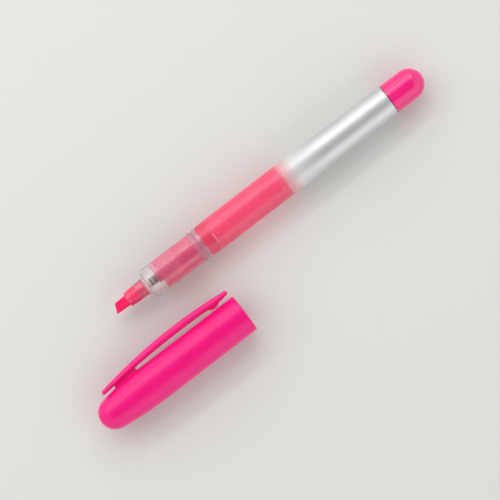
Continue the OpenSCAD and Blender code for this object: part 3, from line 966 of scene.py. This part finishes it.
satin_pink, tree, shader = new_finish("satin_pink")
rubbed = handling_marks(tree, grain_scale=7000.0, scratch_share=0.15)
scuffed = between(tree, rubbed["Scratches"], 0.0, cap_scuff)
set_inputs(tree, shader, {
    "Base Color": blend_colours(tree, scuffed, clouded(tree, rubbed, *cap_pinks), scuff_pink),
    "Roughness": in_range(tree, rubbed["Grain"], *noise_span, *cap_roughness),
    "Normal": grain_bump(tree, rubbed, strength=0.4),
    "Specular IOR Level": 0.52,
    "Specular Tint": satin_tint,
    "Subsurface Weight": 0.05,
    "Subsurface Radius": (1.0, 0.1, 0.25),
    "Subsurface Scale": 1.2 * mm,
})
cap.data.materials.append(satin_pink)
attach(cap, "cap")
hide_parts("cap_shell")

# Cap liner
# A cup of milky plastic pushed into the cap's cavity by its flange. It closes round the nose and keeps
# the nib from drying.
liner_x = liner_low.x
liner_bore_r = 2.97 * mm
liner_r = 3.87 * mm
liner_wall = 0.9 * mm
flange_l = 1.5 * mm
flange_r = 4.58 * mm
liner_round = 0.6 * mm
liner_floor_round = 0.5 * mm
liner_mouth_round = 0.35 * mm
flange_round = 0.2 * mm
flange_root_round = 0.15 * mm
liner_whites = ((0.76, 0.71, 0.68, 1), (0.84, 0.79, 0.76, 1))
liner_roughness = (0.3, 0.45)
liner = turn("cap_liner", rounded([
    (liner_x, 0),
    (liner_x, liner_r, liner_round),
    (cap_bore_x - flange_l, liner_r, flange_root_round),
    (cap_bore_x - flange_l, flange_r, flange_root_round),
    (cap_bore_x, flange_r, flange_round),
    (cap_bore_x, liner_bore_r, liner_mouth_round),
    (liner_x + liner_wall, liner_bore_r, liner_floor_round),
    (liner_x + liner_wall, 0),
]), cap_axis, closed=False)
even_shading(liner)

milky_plastic, tree, shader = new_finish("milky_plastic")
rubbed = handling_marks(tree, grain_scale=1500.0, scratch_share=0.1)
set_inputs(tree, shader, {
    "Base Color": clouded(tree, rubbed, *liner_whites),
    "Roughness": in_range(tree, rubbed["Grain"], *noise_span, *liner_roughness),
    "Subsurface Weight": 0.4,
    "Subsurface Scale": 1.0 * mm,
})
liner.data.materials.append(milky_plastic)
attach(liner, "cap")
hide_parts("inner_cap")

# Clip
# A long springy bow moulded in one piece with the cap: a short tail, a web that joins the cap, and the
# arm, with a half-ball nub near its tip that grips the page. The real arm bends where it leaves the web.
cap_y, cap_z = cap_axis
# Stations that end in _s are measured along the cap from its tip.
mouth_s = mouth_x - cap_tip_x
clip_tail_s = 5.75 * mm
clip_tip_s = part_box("clip_arm")[1].x - cap_tip_x
clip_w = 4.8 * mm
clip_tip_w = 3.6 * mm
clip_rise = 4.02 * mm
clip_crest_s = 36 * mm
clip_outer_r = 168 * mm
clip_gap = 1.46 * mm
clip_gap_s = 37 * mm
clip_inner_r = 310 * mm
clip_edge = 0.6 * mm
clip_ridge = 0.6 * mm
clip_ridge_r = 0.8 * mm
clip_ridge_y = -0.3 * mm
lead_l = 3.6 * mm
lead_h = 0.45 * mm
lead_s = clip_tip_s - lead_l
web_start_s = 10.2 * mm
web_end_s = 18.6 * mm
web_middle_s = (web_start_s + web_end_s) / 2
web_l = web_end_s - web_start_s
web_w = 2.0 * mm
web_foot_r = 5.4 * mm
web_front_slope = 0.6 * mm
web_rear_slope = 0.25 * mm
web_inset = 0.2 * mm
knuckle_s = web_end_s + 0.75 * mm
nub_s = mouth_s - 6.6 * mm
nub_l = 4.4 * mm
nub_h = 0.85 * mm
nub_inset = 0.1 * mm
nub_steps = 64
tail_steps = 4
web_steps = 10
arm_steps = 36
end_steps = 7
first_end_step = 0.6
looks_at_cap = -0.9


def outer_bow(s):
    """Distance of the clip's outer face from the cap's axis at a station along the cap."""
    return cap_r + clip_rise - clip_outer_r + sqrt(clip_outer_r ** 2 - (s - clip_crest_s) ** 2)


def inner_bow(s):
    """Distance of the clip's inner face from the cap's axis, with a straight lead-in at the tip."""
    bow_s = min(s, lead_s)
    bow = cap_r + clip_gap - clip_inner_r + sqrt(clip_inner_r ** 2 - (bow_s - clip_gap_s) ** 2)
    return bow + lead_h * (s - bow_s) / lead_l


def clip_middle(s):
    """Distance of the clip's middle from the cap's axis."""
    return (outer_bow(s) + inner_bow(s)) / 2


def clip_half(s):
    """Half of the clip's thickness."""
    return (outer_bow(s) - inner_bow(s)) / 2


def clip_width(s):
    """Width of the clip, even up to the web's end and then tapering to the mouth."""
    share = max(0, (s - knuckle_s) / (mouth_s - knuckle_s))
    return clip_w + (clip_tip_w - clip_w) * share


def even_stations(start, end, count):
    """Stations at even steps after a start, up to an end."""
    return [start + (end - start) * i / count for i in range(1, count + 1)]


tail_round = clip_half(clip_tail_s + clip_half(clip_tail_s))
tip_round = clip_half(clip_tip_s - clip_half(clip_tip_s))
tail_end = clip_tail_s + tail_round
tip_end = clip_tip_s - tip_round
inset_start = web_start_s - web_inset
inset_end = web_end_s + web_inset
# Each section is a station and half of the thickness there. The rings at the two ends are rounded.
end_turns = [pi / 2 * (i + first_end_step) / end_steps for i in range(end_steps)]
tail_sections = [(tail_end - tail_round * cos(a), tail_round * sin(a)) for a in end_turns]
tip_sections = [(tip_end + tip_round * cos(a), tip_round * sin(a)) for a in reversed(end_turns)]
stations = [tail_end]
stations += even_stations(tail_end, inset_start, tail_steps)
stations += even_stations(inset_start, inset_end, web_steps)
stations += even_stations(inset_end, tip_end, arm_steps)
sections = tail_sections + [(s, clip_half(s)) for s in stations] + tip_sections

half_t = clip_half(clip_crest_s)
edge_z = clip_w / 2 - clip_ridge
profile = [Vector((0, y, z)) for y, z in rounded([
    (-half_t, -edge_z, clip_edge),
    (clip_ridge_y, -clip_w / 2, clip_ridge_r),
    (half_t, -edge_z, clip_edge),
    (half_t, edge_z, clip_edge),
    (clip_ridge_y, clip_w / 2, clip_ridge_r),
    (-half_t, edge_z, clip_edge),
])]
clip = trace("pocket_clip", profile + profile[:1])
bpy.ops.mesh.remove_doubles(threshold=merge_gap)
bpy.ops.mesh.edge_face_add()
here = Vector((0, 0, 0))
size = Vector((1, 2 * half_t, clip_w))
for i, (s, half) in enumerate(sections):
    there = Vector((cap_tip_x + s, cap_y + clip_middle(s), cap_z))
    if i == 0:
        bpy.ops.transform.translate(value=there - here)
    else:
        bpy.ops.mesh.extrude_region_move(TRANSFORM_OT_translate={"value": there - here})
    new_size = Vector((1, 2 * half, clip_width(s)))
    ratio = (1, new_size.y / size.y, new_size.z / size.z)
    bpy.ops.transform.resize(value=ratio, center_override=there)
    here = there
    size = new_size
bpy.ops.mesh.select_all(action="SELECT")
bpy.ops.mesh.normals_make_consistent(inside=False)
bpy.ops.object.mode_set(mode="OBJECT")


def select_faces(piece, chosen):
    """Selects the faces that a rule picks by middle and normal, and leaves the piece in edit mode."""
    bpy.ops.object.mode_set(mode="EDIT")
    bpy.ops.mesh.select_mode(type="FACE")
    bpy.ops.mesh.select_all(action="DESELECT")
    bpy.ops.object.mode_set(mode="OBJECT")
    for face in piece.data.polygons:
        face.select = chosen(face.center, face.normal)
    bpy.ops.object.mode_set(mode="EDIT")


def under_web(middle, normal):
    """Picks the faces that look at the cap where the web leaves the clip."""
    return inset_start < middle.x - cap_tip_x < inset_end and normal.y < looks_at_cap


select_faces(clip, under_web)
bpy.ops.mesh.inset(thickness=web_inset, use_even_offset=True)
flat_w = 2 * min(abs(point.z) for point in profile)
web_ratio = web_w / (flat_w - 2 * web_inset)
bpy.ops.transform.resize(value=(1, 1, web_ratio), center_override=(cap_tip_x, cap_y, cap_z))
web_drop = inner_bow(web_middle_s) - web_foot_r
bpy.ops.mesh.extrude_region_move(TRANSFORM_OT_translate={"value": (0, -web_drop, 0)})
foot_ratio = (web_l + web_front_slope - web_rear_slope) / web_l
foot_middle = (cap_tip_x + web_middle_s, cap_y + web_foot_r, cap_z)
bpy.ops.transform.resize(value=(foot_ratio, 1, 1), center_override=foot_middle)
bpy.ops.object.mode_set(mode="OBJECT")

nub_x = cap_tip_x + nub_s
nub_ball_r = ((nub_l / 2) ** 2 + nub_h ** 2) / (2 * nub_h)
nub_foot_y = cap_y + inner_bow(nub_s) - nub_h
nub_half_w = clip_width(nub_s) / 2 - clip_ridge - nub_inset
bpy.ops.object.select_all(action="DESELECT")
bpy.ops.mesh.primitive_uv_sphere_add(segments=nub_steps, ring_count=nub_steps // 2, radius=nub_ball_r,
                                     location=(nub_x, nub_foot_y + nub_ball_r, cap_z))
nub = bpy.context.object
bpy.ops.object.transform_apply(location=True, rotation=True, scale=True)
bpy.ops.object.mode_set(mode="EDIT")
slice_off((nub_x, cap_y + clip_middle(nub_s), cap_z), (0, 1, 0))
slice_off((nub_x, cap_y, cap_z + nub_half_w), (0, 0, 1))
slice_off((nub_x, cap_y, cap_z - nub_half_w), (0, 0, -1))
bpy.ops.object.mode_set(mode="OBJECT")
select_only(clip)
apply_modifier(clip, "BOOLEAN", operation="UNION", object=nub)
bpy.data.objects.remove(nub)
even_shading(clip)
clip.data.materials.append(satin_pink)
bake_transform(clip)
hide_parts("clip_arm")
